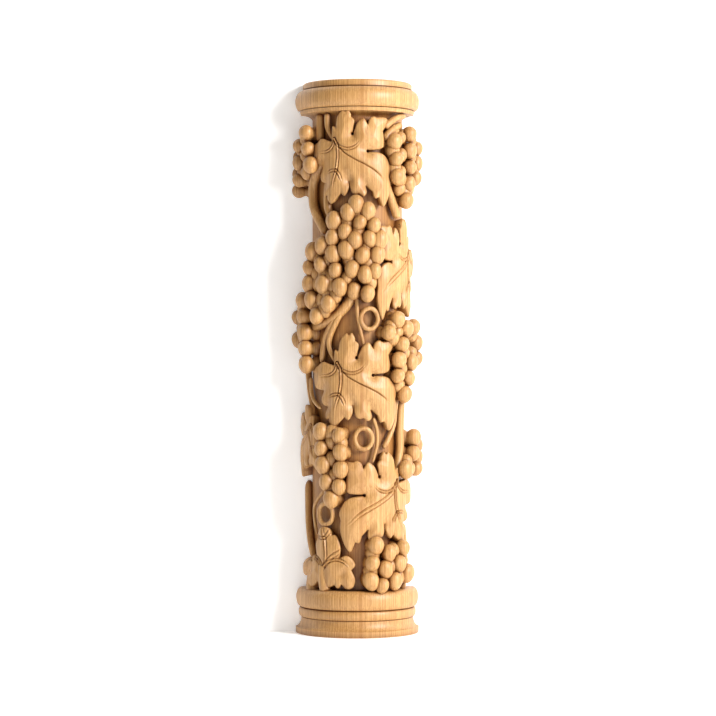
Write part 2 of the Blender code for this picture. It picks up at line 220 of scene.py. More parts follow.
# Each bunch of grapes: length of a berry against its width, then its strings of berries.
# A string: how many, turn and height share of the first and of the last, and sideways swing
BUNCHES = (
    (1.05, ((3, -60, 0.969, -52, 0.900, 0), (3, -77, 0.944, -80, 0.872, 0),
            (3, -94, 0.922, -92, 0.850, 0))),
    (1.08, ((3, 39, 0.948, 43, 0.874, 0), (5, 62, 0.967, 56, 0.825, 3), (3, 88, 0.941, 78, 0.876, 4))),
    (1.25, ((4, -9, 0.796, -5, 0.678, -5), (3, -1, 0.813, -2, 0.738, 4), (3, 10, 0.799, 22, 0.739, 0),
            (3, 12, 0.741, 17, 0.674, 5), (3, 5, 0.706, 10, 0.626, 0), (5, -23, 0.779, -17, 0.640, -4),
            (4, -36, 0.728, -29, 0.605, -4), (5, -49, 0.716, -43, 0.580, -8))),
    (1.15, ((5, -67, 0.613, -60, 0.477, 0), (2, -90, 0.578, -90, 0.530, 0))),
    (1.10, ((2, 43, 0.572, 32, 0.544, 0), (4, 56, 0.553, 43, 0.453, -3), (3, 72, 0.557, 90, 0.490, 8),
            (3, 65, 0.481, 53, 0.414, 0))),
    (1.20, ((5, -38, 0.335, -26, 0.194, -3), (4, -18, 0.328, -18, 0.220, 2))),
    (1.15, ((3, 74, 0.321, 55, 0.254, 6), (3, 90, 0.303, 84, 0.254, 0))),
    (1.20, ((3, 18.4, 0.096, 13.4, 0.022, -1), (3, 32, 0.079, 24.5, 0.012, 0),
            (2, 44.5, 0.056, 39, 0.020, 0), (2, 50, 0.088, 57, 0.034, 0))),
)
# Size of each berry against the full one, in turn
SIZE_RHYTHM = (1.08, 0.98, 1.14, 1.02, 1.10, 0.94, 1.06)

# Stems in mm: width, how far the crest stands out from the ground, width left at the far end, then
# the route as turn in degrees and share of the shaft's height
STEMS = (
    (12.0, 10.0, 0.95, ((-49, 1.010), (-50, 0.985), (-49, 0.950))),
    (13.5, 11.0, 1.00, ((-5, 0.680), (-6, 0.625), (-19, 0.590), (-41, 0.566), (-90, 0.547))),
    (13.5, 12.5, 0.90, ((-42, 0.905), (-50, 0.892), (-61, 0.862), (-61, 0.818), (-48, 0.780),
                        (-38, 0.755))),
    (11.5, 10.0, 0.90, ((-35, 0.865), (-37, 0.835), (-36, 0.805), (-27, 0.780))),
    (8.0, 10.5, 0.85, ((52, 0.415), (48, 0.385), (46, 0.354), (40, 0.328), (31, 0.300))),
    (11.5, 12.5, 0.90, ((60, 0.425), (59, 0.398), (57, 0.340), (57, 0.297), (51, 0.258), (45, 0.236))),
    (12.0, 10.0, 0.80, ((-90, 0.228), (-86, 0.163), (-76, 0.111), (-60, 0.060))),
    (8.5, 11.0, 0.70, ((-36, 1.010), (-35, 0.977), (-24, 0.945))),
    (9.5, 10.5, 0.80, ((-24, 0.583), (-40, 0.529), (-45, 0.480))),
    (9.0, 11.0, 0.60, ((-18, 0.590), (-34, 0.525), (-23, 0.478))),
    (11.5, 13.5, 1.00, ((32, 0.875), (36, 0.847), (43, 0.820), (51, 0.788))),
    (9.0, 10.0, 0.80, ((-86, 0.529), (-79, 0.450), (-60, 0.372))),
    (5.5, 10.5, 0.80, ((-2, 0.660), (0, 0.592), (2, 0.564), (8, 0.512))),
    (5.0, 10.5, 0.80, ((18, 0.365), (22, 0.339), (22, 0.306), (17, 0.270))),
    (5.0, 10.5, 0.80, ((-34, 0.218), (-56, 0.174), (-51, 0.117))),
    (5.5, 12.0, 0.90, ((-62, 0.450), (-61, 0.421), (-55, 0.400), (-43, 0.384))),
    (10.0, 15.5, 0.75, ((30, 0.978), (38, 0.990), (48, 1.001), (62, 1.006))),
    (12.5, 16.5, 0.70, ((31, 0.952), (37, 0.968), (45, 0.979), (55, 0.986))),
    (11.0, 13.0, 0.80, ((60, 0.140), (64, 0.090), (66, 0.045), (62, -0.004))),
    (27.0, 17.0, 0.50, ((-60, -0.012), (-62, 0.015), (-60, 0.045), (-52, 0.072))),
    (15.5, 17.5, 0.85, ((-36, -0.004), (-39, 0.020), (-40, 0.040), (-39, 0.055))),
)
# Tendrils curled into rings: turn in degrees and share of the shaft's height of the middle
RINGS = ((13.5, 0.574), (7, 0.321), (-37, 0.161))
RING_WIDTH = 29.5
RING_HEIGHT = 33.0
RING_TUBE = 6.0
RING_RISE = 12.0
RING_STEPS = 48
# How finely stems are drawn, over how many steps their ends are rounded, and how blunt they end
ROUTE_STEPS = 10
TUBE_SIDES = 6
END_STEPS = 4
BLUNT_END = 0.3

# How far apart the carvings are sawn, over how many steps the berries of a bunch take turns, and
# how near to one another points count as one
SAW_STEP = 0.02 * MM
SAW_STEPS = 11
SAW_WELD = 0.001 * MM
TUBE_WELD = 0.01 * MM
# Edges sharper than this stay crisp
SMOOTH_ANGLE = math.radians(35)
TURNED_ANGLE = math.radians(22)
TUBE_ANGLE = math.radians(50)

SHAFT_LOW = BASE_ROLL_HIGH
SHAFT_HIGH = HEIGHT / MM - COVE_DEPTH
SHAFT_LENGTH = SHAFT_HIGH - SHAFT_LOW


def shaft_height(share):
    """Height in mm of a share of the shaft between the base and the cove."""
    return SHAFT_LOW + share * SHAFT_LENGTH


def on_column(turn, height, radius):
    """Place in metres of a point given by its turn from the front in degrees and mm."""
    angle = math.radians(turn)
    return Vector((radius * MM * math.sin(angle), BACK - radius * MM * math.cos(angle), height * MM))


def start_afresh():
    """Leave edit mode with nothing selected."""
    if bpy.context.object and bpy.context.object.mode != "OBJECT":
        bpy.ops.object.mode_set(mode="OBJECT")
    bpy.ops.object.select_all(action="DESELECT")


def pick(piece):
    """Select one piece alone."""
    start_afresh()
    bpy.context.view_layer.objects.active = piece
    piece.select_set(True)


def saw_back(piece, number):
    """Cut away what lies behind the sawn back, and close the cut. Carvings are sawn a hair apart,
    so that cut faces which overlap don't lie in one plane."""
    plane = BACK - number * SAW_STEP
    if max(vertex.co.y for vertex in piece.data.vertices) <= plane:
        return
    pick(piece)
    bpy.ops.object.mode_set(mode="EDIT")
    bpy.ops.mesh.select_all(action="SELECT")
    bpy.ops.mesh.bisect(plane_co=(0, plane, 0), plane_no=(0, 1, 0), use_fill=True, clear_outer=True,
                        threshold=SAW_WELD)
    bpy.ops.object.mode_set(mode="OBJECT")


def finish_piece(piece, name, angle):
    """Smooth the round faces, dress the piece in wood and fix it to the part."""
    pick(piece)
    bpy.ops.object.mode_set(mode="EDIT")
    bpy.ops.mesh.select_all(action="SELECT")
    bpy.ops.mesh.normals_make_consistent(inside=False)
    bpy.ops.object.mode_set(mode="OBJECT")
    bpy.ops.object.shade_smooth_by_angle(angle=angle)
    piece.name = name
    piece.data.name = name
    piece.data.materials.clear()
    piece.data.materials.append(WOOD)
    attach(piece, "root")
    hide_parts("half_column")


def to_linear(hex_colour):
    """sRGB hex colour as linear RGBA."""
    channels = [int(hex_colour[i:i + 2], 16) / 255 for i in (1, 3, 5)]
    return [c / 12.92 if c <= 0.04045 else ((c + 0.055) / 1.055) ** 2.4 for c in channels] + [1]


def add_node(tree, kind, inputs=(), **settings):
    """A shader node with its settings, and its inputs linked or set."""
    node = tree.nodes.new(kind)
    for key, value in settings.items():
        setattr(node, key, value)
    for socket, value in dict(inputs).items():
        if isinstance(value, bpy.types.NodeSocket):
            tree.links.new(value, node.inputs[socket])
        else:
            node.inputs[socket].default_value = value
    return node


# Wood of the block, in real sizes: width of a year ring, length and width of the fibre streaks,
# width and length of the pores, and how far the rings wander
YEAR_RING = 3.4 * MM
RING_WANDER = 3.0 * MM
WANDER_PER_METRE = (9, 9, 1.6)
FIBRE_WIDTH = 1.5 * MM
FIBRE_LENGTH = 90 * MM
PORE_WIDTH = 0.5 * MM
PORE_LENGTH = 7 * MM
# The pith of the tree lies far beside the block, so the rings run nearly straight
PITH = (-1.20, 0.10)
# How unevenly wide the year rings are: change per ring and strength
YEAR_CHANGE = 0.45
YEAR_UNEVEN = 2.2
# Where in a year the late wood starts, is darkest and ends, and how much of its colour shows
LATE_START = 0.25
LATE_FULL = 0.90
LATE_END = 0.98
LATE_MOST = 0.75
# Noise between which a streak or a pore comes in, and how much of its colour shows
STREAK_FROM = 0.42
STREAK_FULL = 0.68
STREAK_MOST = 0.55
FLECK_FROM = 0.64
FLECK_FULL = 0.74
FLECK_MOST = 0.40
# Slow drift of the tone over the block, darkest to palest
DRIFT_PER_METRE = (14, 14, 2.5)
DRIFT_LOW = 0.3
DRIFT_HIGH = 0.7
TONE_DARK = 0.93
TONE_PALE = 1.06
# Satin finish: roughness of smooth and coarse fibres, relief of the grain and a thin coat of wax
ROUGH_LEAST = 0.40
ROUGH_MOST = 0.56
PORE_RELIEF = 0.5
GRAIN_STRENGTH = 0.25
GRAIN_RELIEF = 0.25 * MM
WOOD_IOR = 1.5
COAT_WEIGHT = 0.15
COAT_ROUGHNESS = 0.35
# Colours of the early and the late wood, of the fibre streaks and of the pores
EARLY_WOOD = "#CC9E62"
LATE_WOOD = "#AA763E"
FIBRE_SHADE = "#9C6836"
PORE_SHADE = "#70441F"
# Painted shade darkens the deep ground, where shade falls between the carvings: radii in metres
# between which it fades out, and what it leaves of the wood's red, green and blue
PAINTED_SHADE_DEEP = 60 * MM
PAINTED_SHADE_CLEAR = 70 * MM
DEEP_PAINTED_SHADE = (0.70, 0.58, 0.40)
# Painted shade in the gaps too, darker the more shut in a gap is: how wide a gap counts, how open
# it may be and how shut it is where the painted shade is darkest, and what it leaves of the wood
GAP_WIDTH = 11 * MM
GAP_OPEN = 0.86
GAP_SHUT = 0.30
GAP_PAINTED_SHADE = (0.36, 0.22, 0.09)
GAP_SAMPLES = 8
# The sawn back and the underside get none of the painted gap shade, to this depth
SAWN_SKIN = 0.7 * MM


def fine_sanded_beech():
    """Pale honey-brown hardwood, carved, fine sanded and left satin: upright year-ring stripes that
    run on through every piece, long fibre streaks and short dark pores."""
    material = bpy.data.materials.new("fine_sanded_beech")
    material.use_nodes = True
    tree = material.node_tree
    tree.nodes.clear()
    place = add_node(tree, "ShaderNodeTexCoord").outputs["Object"]

    wander = add_node(tree, "ShaderNodeMapping", {"Vector": place, "Scale": WANDER_PER_METRE})
    wander = add_node(tree, "ShaderNodeTexNoise", {"Vector": wander.outputs[0], "Scale": 1, "Detail": 2})
    wander = add_node(tree, "ShaderNodeMath", {0: wander.outputs["Fac"], 1: 2 * RING_WANDER},
                      operation="MULTIPLY")
    flat = add_node(tree, "ShaderNodeVectorMath", {0: place, 1: (1, 1, 0)}, operation="MULTIPLY")
    reach = add_node(tree, "ShaderNodeVectorMath", {0: flat.outputs[0], 1: (*PITH, 0)},
                     operation="DISTANCE")
    reach = add_node(tree, "ShaderNodeMath", {0: reach.outputs["Value"], 1: wander.outputs[0]},
                     operation="ADD")
    years = add_node(tree, "ShaderNodeMath", {0: reach.outputs[0], 1: 1 / YEAR_RING}, operation="MULTIPLY")
    uneven = add_node(tree, "ShaderNodeTexNoise", {
        "W": years.outputs[0], "Scale": YEAR_CHANGE, "Detail": 1}, noise_dimensions="1D")
    years = add_node(tree, "ShaderNodeMath", {
        0: uneven.outputs["Fac"], 1: YEAR_UNEVEN, 2: years.outputs[0]}, operation="MULTIPLY_ADD")
    year = add_node(tree, "ShaderNodeMath", {0: years.outputs[0]}, operation="FRACT")
    late = add_node(tree, "ShaderNodeValToRGB", {0: year.outputs[0]})
    late.color_ramp.elements[0].position = LATE_START
    late.color_ramp.elements[0].color = (0, 0, 0, 1)
    late.color_ramp.elements[1].position = LATE_FULL
    late.color_ramp.elements[1].color = (1, 1, 1, 1)
    fall = late.color_ramp.elements.new(LATE_END)
    fall.color = (0, 0, 0, 1)

    fibre = add_node(tree, "ShaderNodeMapping", {
        "Vector": place, "Scale": (1 / FIBRE_WIDTH, 1 / FIBRE_WIDTH, 1 / FIBRE_LENGTH)})
    fibre = add_node(tree, "ShaderNodeTexNoise", {"Vector": fibre.outputs[0], "Scale": 1, "Detail": 3})
    streak = add_node(tree, "ShaderNodeMapRange", {
        "Value": fibre.outputs["Fac"], "From Min": STREAK_FROM, "From Max": STREAK_FULL,
        "To Min": 0, "To Max": STREAK_MOST})
    pore = add_node(tree, "ShaderNodeMapping", {
        "Vector": place, "Scale": (1 / PORE_WIDTH, 1 / PORE_WIDTH, 1 / PORE_LENGTH)})
    pore = add_node(tree, "ShaderNodeTexNoise", {"Vector": pore.outputs[0], "Scale": 1, "Detail": 1})
    fleck = add_node(tree, "ShaderNodeMapRange", {
        "Value": pore.outputs["Fac"], "From Min": FLECK_FROM, "From Max": FLECK_FULL,
        "To Min": 0, "To Max": FLECK_MOST})
    drift = add_node(tree, "ShaderNodeMapping", {"Vector": place, "Scale": DRIFT_PER_METRE})
    drift = add_node(tree, "ShaderNodeTexNoise", {"Vector": drift.outputs[0], "Scale": 1, "Detail": 2})

    ring_share = add_node(tree, "ShaderNodeMath", {0: late.outputs["Color"], 1: LATE_MOST},
                          operation="MULTIPLY")
    colour = add_node(tree, "ShaderNodeMix", {
        0: ring_share.outputs[0], 6: to_linear(EARLY_WOOD), 7: to_linear(LATE_WOOD)}, data_type="RGBA")
    colour = add_node(tree, "ShaderNodeMix", {
        0: streak.outputs[0], 6: colour.outputs[2], 7: to_linear(FIBRE_SHADE)}, data_type="RGBA")
    colour = add_node(tree, "ShaderNodeMix", {
        0: fleck.outputs[0], 6: colour.outputs[2], 7: to_linear(PORE_SHADE)}, data_type="RGBA")
    tone = add_node(tree, "ShaderNodeMapRange", {
        "Value": drift.outputs["Fac"], "From Min": DRIFT_LOW, "From Max": DRIFT_HIGH,
        "To Min": TONE_DARK, "To Max": TONE_PALE})
    colour = add_node(tree, "ShaderNodeVectorMath", {0: colour.outputs[2], "Scale": tone.outputs[0]},
                      operation="SCALE")
    # Painted shade: the colour darkens towards the deep ground of the shaft
    depth = add_node(tree, "ShaderNodeVectorMath", {0: flat.outputs[0], 1: (0, BACK, 0)},
                     operation="DISTANCE")
    depth = add_node(tree, "ShaderNodeMapRange", {
        "Value": depth.outputs["Value"], "From Min": PAINTED_SHADE_DEEP, "From Max": PAINTED_SHADE_CLEAR,
        "To Min": 1, "To Max": 0}, interpolation_type="SMOOTHSTEP")
    painted_shade = add_node(tree, "ShaderNodeVectorMath", {0: colour.outputs[0], 1: DEEP_PAINTED_SHADE},
                     operation="MULTIPLY")
    colour = add_node(tree, "ShaderNodeMix", {
        0: depth.outputs[0], 6: colour.outputs[0], 7: painted_shade.outputs[0]}, data_type="RGBA")
    # Painted shade: ambient occlusion darkens the colour in gaps and crevices, except on the sawn back and
    # the underside
    gap = add_node(tree, "ShaderNodeAmbientOcclusion", {"Distance": GAP_WIDTH}, samples=GAP_SAMPLES)
    gap = add_node(tree, "ShaderNodeMapRange", {
        "Value": gap.outputs["AO"], "From Min": GAP_SHUT, "From Max": GAP_OPEN, "To Min": 1, "To Max": 0})
    sides = add_node(tree, "ShaderNodeSeparateXYZ", {0: place})
    carved = add_node(tree, "ShaderNodeMath", {0: sides.outputs["Y"], 1: BACK - SAWN_SKIN},
                      operation="LESS_THAN")
    raised = add_node(tree, "ShaderNodeMath", {0: sides.outputs["Z"], 1: SAWN_SKIN},
                      operation="GREATER_THAN")
    carved = add_node(tree, "ShaderNodeMath", {0: carved.outputs[0], 1: raised.outputs[0]},
                      operation="MULTIPLY")
    gap = add_node(tree, "ShaderNodeMath", {0: gap.outputs[0], 1: carved.outputs[0]}, operation="MULTIPLY")
    painted_shade = add_node(tree, "ShaderNodeVectorMath", {0: colour.outputs[2], 1: GAP_PAINTED_SHADE},
                     operation="MULTIPLY")
    colour = add_node(tree, "ShaderNodeMix", {
        0: gap.outputs[0], 6: colour.outputs[2], 7: painted_shade.outputs[0]}, data_type="RGBA")

    rough = add_node(tree, "ShaderNodeMapRange", {
        "Value": fibre.outputs["Fac"], "To Min": ROUGH_LEAST, "To Max": ROUGH_MOST})
    relief = add_node(tree, "ShaderNodeMath", {
        0: pore.outputs["Fac"], 1: PORE_RELIEF, 2: fibre.outputs["Fac"]}, operation="MULTIPLY_ADD")
    bump = add_node(tree, "ShaderNodeBump", {
        "Height": relief.outputs[0], "Strength": GRAIN_STRENGTH, "Distance": GRAIN_RELIEF})
    shader = add_node(tree, "ShaderNodeBsdfPrincipled", {
        "Base Color": colour.outputs[2], "Roughness": rough.outputs[0], "Normal": bump.outputs[0],
        "IOR": WOOD_IOR, "Coat Weight": COAT_WEIGHT, "Coat Roughness": COAT_ROUGHNESS})
    add_node(tree, "ShaderNodeOutputMaterial", {"Surface": shader.outputs[0]})
    return material


def white_paint(one_sided):
    """Matt white studio paint, which glows a little. A one-sided face lets a view from behind
    through."""
    material = bpy.data.materials.new("matt_white_wall" if one_sided else "matt_white_floor")
    material.use_nodes = True
    tree = material.node_tree
    tree.nodes.clear()
    paint = add_node(tree, "ShaderNodeBsdfDiffuse", {"Color": to_linear("#FFFFFF")}).outputs[0]
    glow = add_node(tree, "ShaderNodeEmission", {"Strength": WALL_GLOW}).outputs[0]
    paint = add_node(tree, "ShaderNodeAddShader", {0: paint, 1: glow}).outputs[0]
    if one_sided:
        behind = add_node(tree, "ShaderNodeNewGeometry").outputs["Backfacing"]
        clear = add_node(tree, "ShaderNodeBsdfTransparent").outputs[0]
        paint = add_node(tree, "ShaderNodeMixShader", {0: behind, 1: paint, 2: clear}).outputs[0]
    add_node(tree, "ShaderNodeOutputMaterial", {"Surface": paint})
    return material


def arc(start, end, outward_first):
    """Quarter of an ellipse between two points of the profile, without the first point."""
    points = []
    for step in range(1, ARC_STEPS + 1):
        angle = math.pi / 2 * step / ARC_STEPS
        across, along = math.sin(angle), 1 - math.cos(angle)
        if not outward_first:
            across, along = along, across
        points.append((start[0] + (end[0] - start[0]) * across, start[1] + (end[1] - start[1]) * along))
    return points


def roll(low, high, radius, low_radius, high_radius):
    """Rounded moulding in the profile, from its lower edge over its widest line to its upper one."""
    middle = (radius, (low + high) / 2)
    lower = arc((low_radius, low), middle, True)
    return [(low_radius, low)] + lower + arc(middle, (high_radius, high), False)


def turned_profile():
    """Radius and height in mm of the turned body, from the rim of the underside up."""
    top = HEIGHT / MM
    disc_low = top - DISC_DEPTH
    roll_low = top - CAPITAL_ROLL_DEPTH
    fillet_low = top - FILLET_DEPTH
    cove_low = top - COVE_DEPTH
    bead_low = BEAD_LOW - TOOL_LINE
    rim = DISC_RADIUS - 2 * TOOL_LINE
    points = [(PLINTH_RADIUS - FOOT_EDGE, 0), (PLINTH_RADIUS, FOOT_EDGE)]
    points += [(PLINTH_RADIUS, PLINTH_HEIGHT - SHARP_EDGE)]
    points += arc((PLINTH_RADIUS - PLINTH_SET_IN, PLINTH_HEIGHT), (SCOTIA_NECK, bead_low), True)
    points += [(SCOTIA_NECK - TOOL_LINE, BEAD_LOW - TOOL_LINE / 2)]
    points += roll(BEAD_LOW, BASE_ROLL_LOW - TOOL_LINE, BEAD_RADIUS, BEAD_SHOULDER, BEAD_SHOULDER)
    points += [(BEAD_SHOULDER - TOOL_LINE, BASE_ROLL_LOW - TOOL_LINE / 2)]
    points += roll(BASE_ROLL_LOW, BASE_ROLL_HIGH, BASE_ROLL_RADIUS, BASE_ROLL_FOOT, BASE_ROLL_SHOULDER)
    points += [(GROUND_RADIUS, BASE_ROLL_HIGH), (GROUND_RADIUS, cove_low)]
    points += arc((GROUND_RADIUS, cove_low), (COVE_RADIUS, fillet_low), False)
    points += [(FILLET_RADIUS, fillet_low + SHARP_EDGE), (FILLET_SHOULDER, roll_low - TOOL_LINE)]
    points += [(FILLET_RADIUS - TOOL_LINE, roll_low - TOOL_LINE / 2)]
    points += roll(roll_low, disc_low - TOOL_LINE, CAPITAL_ROLL_RADIUS, CAPITAL_ROLL_FOOT, DISC_RADIUS)
    points += [(rim, disc_low - TOOL_LINE), (rim, disc_low)]
    points += [(DISC_RADIUS - SHARP_EDGE, disc_low), (DISC_RADIUS, disc_low + SHARP_EDGE)]
    points += arc((DISC_RADIUS, top - DISC_ROUND), (DISC_RADIUS - DISC_ROUND, top), False)
    return points


def turn_body():
    """The turned body: a disc drawn up ring by ring along the profile, then sawn through the axis."""
    start_afresh()
    profile = turned_profile()
    radius, height = profile[0]
    bpy.ops.mesh.primitive_circle_add(vertices=TURNING_SIDES, radius=radius * MM, fill_type="NGON",
                                      location=(0, BACK, 0))
    body = bpy.context.object
    bpy.ops.object.transform_apply(location=True, rotation=True, scale=True)
    bpy.ops.object.mode_set(mode="EDIT")
    for next_radius, next_height in profile[1:]:
        bpy.ops.mesh.extrude_region_move(
            TRANSFORM_OT_translate={"value": (0, 0, (next_height - height) * MM)})
        share = next_radius / radius
        bpy.ops.transform.resize(value=(share, share, 1), center_override=(0, BACK, next_height * MM))
        radius, height = next_radius, next_height
    bpy.ops.object.mode_set(mode="OBJECT")
    saw_back(body, 0)
    finish_piece(body, "turned_body", TURNED_ANGLE)


def rounded_outline(corners):
    """Closed outline with its outstanding corners rounded and its inward corners sharp."""
    area = sum(a[0] * b[1] - b[0] * a[1] for a, b in zip(corners, corners[1:] + corners[:1]))
    points = []
    for number, corner in enumerate(corners):
        before, after = corners[number - 1], corners[(number + 1) % len(corners)]
        cross = ((corner[0] - before[0]) * (after[1] - corner[1])
                 - (corner[1] - before[1]) * (after[0] - corner[0]))
        if cross * area < 0:
            points.append(corner)
            continue
        into = [corner[k] + (before[k] - corner[k]) * CORNER_SHARE for k in (0, 1)]
        out = [corner[k] + (after[k] - corner[k]) * CORNER_SHARE for k in (0, 1)]
        for step in range(CORNER_STEPS + 1):
            t = step / CORNER_STEPS
            points.append(tuple(
                (1 - t) ** 2 * into[k] + 2 * t * (1 - t) * corner[k] + t ** 2 * out[k] for k in (0, 1)))
    return points


def to_polyline(points, line):
    """Distance of each point from a broken line, and how far along the line its nearest point is."""
    line = np.array(line, float)
    nearest = np.full(len(points), np.inf)
    along = np.zeros(len(points))
    for number, (start, end) in enumerate(zip(line[:-1], line[1:])):
        span = end - start
        share = np.clip(((points - start) @ span) / (span @ span), 0, 1)
        distance = np.linalg.norm(points - start - share[:, None] * span, axis=1)
        closer = distance < nearest
        nearest[closer] = distance[closer]
        along[closer] = (number + share[closer]) / (len(line) - 1)
    return nearest, along


def leaf_height(flat, outline, size, mirrored):
    """Height of a leaf's face over its rim's height, at points in the leaf's own mm."""
    closed = list(outline) + [outline[0]]
    rim = to_polyline(flat, closed)[0]
    height = LEAF_CROWN * np.clip(rim / CROWN_REACH, 0, 1) ** CROWN_CURVE
    near = np.clip(1 - rim * size / LEAF_RIM, 0, 1)
    height -= LEAF_RIM * (1 - np.sqrt(1 - near ** 2)) / size
    for valley in LEAF_VALLEYS:
        distance, along = to_polyline(flat, valley)
        height -= VALLEY_DEPTH * np.exp(-(distance / VALLEY_WIDTH) ** 2) * (1 - VALLEY_FADE * along)
    ribs = [(rib, RIB_SPACING) for rib in LEAF_RIBS]
    cuts = [SIDE_CUT]
    if mirrored:
        ribs.append((LONG_VEIN, LONG_RIB_SPACING))
    else:
        cuts.append(LONG_VEIN)
    for rib, spread in ribs:
        distance, along = to_polyline(flat, smooth_route(rib))
        fade = np.clip((1 - along) * RIB_FADE, 0, 1)
        spacing = spread * (1 - RIB_CLOSING + RIB_CLOSING * fade)
        height += fade * RIB_HEIGHT * np.exp(-(distance / RIB_CUT_WIDTH) ** 2)
        height -= fade * RIB_CUT_DEPTH * np.exp(-((distance - spacing) / RIB_CUT_WIDTH) ** 2)
    for cut in cuts:
        distance, along = to_polyline(flat, smooth_route(cut))
        fade = np.clip((1 - along) * CUT_FADE, 0, 1)
        height -= fade * CUT_DEPTH * np.exp(-(distance / CUT_WIDTH) ** 2)
    for eye in LEAF_EYES:
        if np.min(np.linalg.norm(outline - np.array(eye), axis=1)) > 2 * EYE_RADIUS:
            continue
        distance = np.linalg.norm(flat - np.array(eye), axis=1)
        height -= EYE_DEPTH * np.clip(1 - (distance / EYE_RADIUS) ** 4, 0, 1)
    return height


def carve_leaf(number, turn, share, wide, long, lean, mirrored, corners):
    """A leaf: a fine board trimmed to the outline, carved to its crown, veins and rounded rim, with
    its edge undercut, then bent round the shaft."""
    outline = rounded_outline(corners)
    low = np.min(outline, axis=0) - LEAF_CELL
    high = np.max(outline, axis=0) + LEAF_CELL
    middle, span = (low + high) / 2, high - low

    start_afresh()
    size = (wide + long) / 2
    cells = [int(length * size / LEAF_CELL) for length in span]
    bpy.ops.mesh.primitive_grid_add(x_subdivisions=cells[0], y_subdivisions=cells[1], size=1)
    board = bpy.context.object
    board.scale = (span[0], span[1], 1)
    board.location = (middle[0], middle[1], 0)
    bpy.ops.object.transform_apply(location=True, rotation=True, scale=True)
    bpy.ops.object.mode_set(mode="EDIT")
    bpy.ops.mesh.select_mode(type="EDGE")
    bpy.ops.mesh.select_all(action="DESELECT")
    bpy.ops.mesh.select_non_manifold()
    bpy.ops.mesh.extrude_edges_move(TRANSFORM_OT_translate={"value": (0, 0, -BOARD_DEPTH)})
    bpy.ops.mesh.edge_face_add()
    bpy.ops.mesh.select_all(action="SELECT")
    bpy.ops.mesh.normals_make_consistent(inside=False)

    start_afresh()
    bpy.ops.mesh.primitive_circle_add(vertices=len(outline), radius=1, fill_type="NGON")
    pattern = bpy.context.object
    for vertex, (x, y) in zip(pattern.data.vertices, outline):
        vertex.co = (x, y, -PATTERN_DEPTH)
    bpy.ops.object.mode_set(mode="EDIT")
    bpy.ops.mesh.select_all(action="SELECT")
    bpy.ops.mesh.extrude_region_move(TRANSFORM_OT_translate={"value": (0, 0, 2 * PATTERN_DEPTH)})
    bpy.ops.mesh.select_all(action="SELECT")
    bpy.ops.mesh.normals_make_consistent(inside=False)
    pick(board)
    trim = board.modifiers.new("trim", "BOOLEAN")
    trim.operation = "INTERSECT"
    trim.solver = "EXACT"
    trim.object = pattern
    bpy.ops.object.modifier_apply(modifier="trim")
    bpy.data.objects.remove(pattern)

    places = np.zeros(len(board.data.vertices) * 3)
    board.data.vertices.foreach_get("co", places)
    places = places.reshape(-1, 3)
    face = places[:, 2] > -PATTERN_DEPTH / 2
    flat = places[:, :2]
    out = np.full(len(places), -LEAF_ROOT)
    out[face] = LEAF_RISE + size * leaf_height(flat[face], outline, size, mirrored)

    ring = np.array(outline)
    around = np.roll(ring, -1, axis=0) - np.roll(ring, 1, axis=0)
    inwards = np.stack((around[:, 1], -around[:, 0]), axis=1)
    inwards /= np.linalg.norm(inwards, axis=1)[:, None]
    for index in np.nonzero(~face)[0]:
        nearest = np.argmin(np.linalg.norm(ring - flat[index], axis=1))
        flat[index] += inwards[nearest] * LEAF_UNDERCUT

    side = -1 if mirrored else 1
    tilt = math.radians(lean)
    across = side * wide * (flat[:, 0] * math.cos(tilt) - flat[:, 1] * math.sin(tilt))
    up = shaft_height(share) + long * (flat[:, 0] * math.sin(tilt) + flat[:, 1] * math.cos(tilt))
    angle = math.radians(turn) + across / (GROUND_RADIUS + LEAF_RISE)
    radius = (GROUND_RADIUS + out) * MM
    places = np.stack((radius * np.sin(angle), BACK - radius * np.cos(angle), up * MM), axis=1)
    board.data.vertices.foreach_set("co", places.ravel())
    board.data.update()
    saw_back(board, number)
    finish_piece(board, f"vine_leaf_{number}", SMOOTH_ANGLE)


def berry_blank():
    """One berry round the origin with its front at -Y: a ball that narrows behind its middle and
    spreads again where it runs into the shaft."""
    start_afresh()
    bpy.ops.mesh.primitive_uv_sphere_add(segments=BERRY_SIDES, ring_count=BERRY_RINGS,
                                         radius=BERRY_WIDTH / 2 * MM, rotation=(math.pi / 2, 0, 0))
    berry = bpy.context.object
    bpy.ops.object.transform_apply(location=True, rotation=True, scale=True)
    half = BERRY_WIDTH / 2 * MM
    for vertex in berry.data.vertices:
        taper = 1 + BERRY_TAPER * vertex.co.z / half
        vertex.co.x *= taper
        vertex.co.y *= taper
        depth = vertex.co.y / half
        if depth > BERRY_SHOULDER:
            share = (depth - BERRY_SHOULDER) / (1 - BERRY_SHOULDER)
            spread = math.hypot(vertex.co.x, vertex.co.z)
            wanted = half * np.interp(share, BERRY_WAIST_AT, BERRY_WAIST)
            if spread > BERRY_AXIS * half:
                vertex.co.x *= wanted / spread
                vertex.co.z *= wanted / spread
            root = (BERRY_CENTRE_RISE + BERRY_ROOT) * MM
            vertex.co.y = half * BERRY_SHOULDER + (root - half * BERRY_SHOULDER) * share
    return berry


def string_of_berries(count, turn_1, share_1, turn_2, share_2, swing):
    """Turn and height share of each berry of a string."""
    for number in range(count):
        t = number / (count - 1)
        turn = turn_1 + (turn_2 - turn_1) * t + swing * math.sin(math.pi * t)
        yield turn, share_1 + (share_2 - share_1) * t


def inner_places(outer):
    """Turn and height of the berries of the lower layer, midway between outer ones that stand apart."""
    around = math.radians(GROUND_RADIUS + BERRY_CENTRE_RISE)
    taken = [(turn * around, height) for turn, height in outer]
    inner = []
    for one, other in itertools.combinations(taken, 2):
        middle = ((one[0] + other[0]) / 2, (one[1] + other[1]) / 2)
        clear = min(math.dist(middle, place) for place in taken)
        if math.dist(one, other) < INNER_REACH * BERRY_WIDTH and clear > INNER_CLEAR * BERRY_WIDTH:
            taken.append(middle)
            inner.append((middle[0] / around, middle[1]))
    return inner


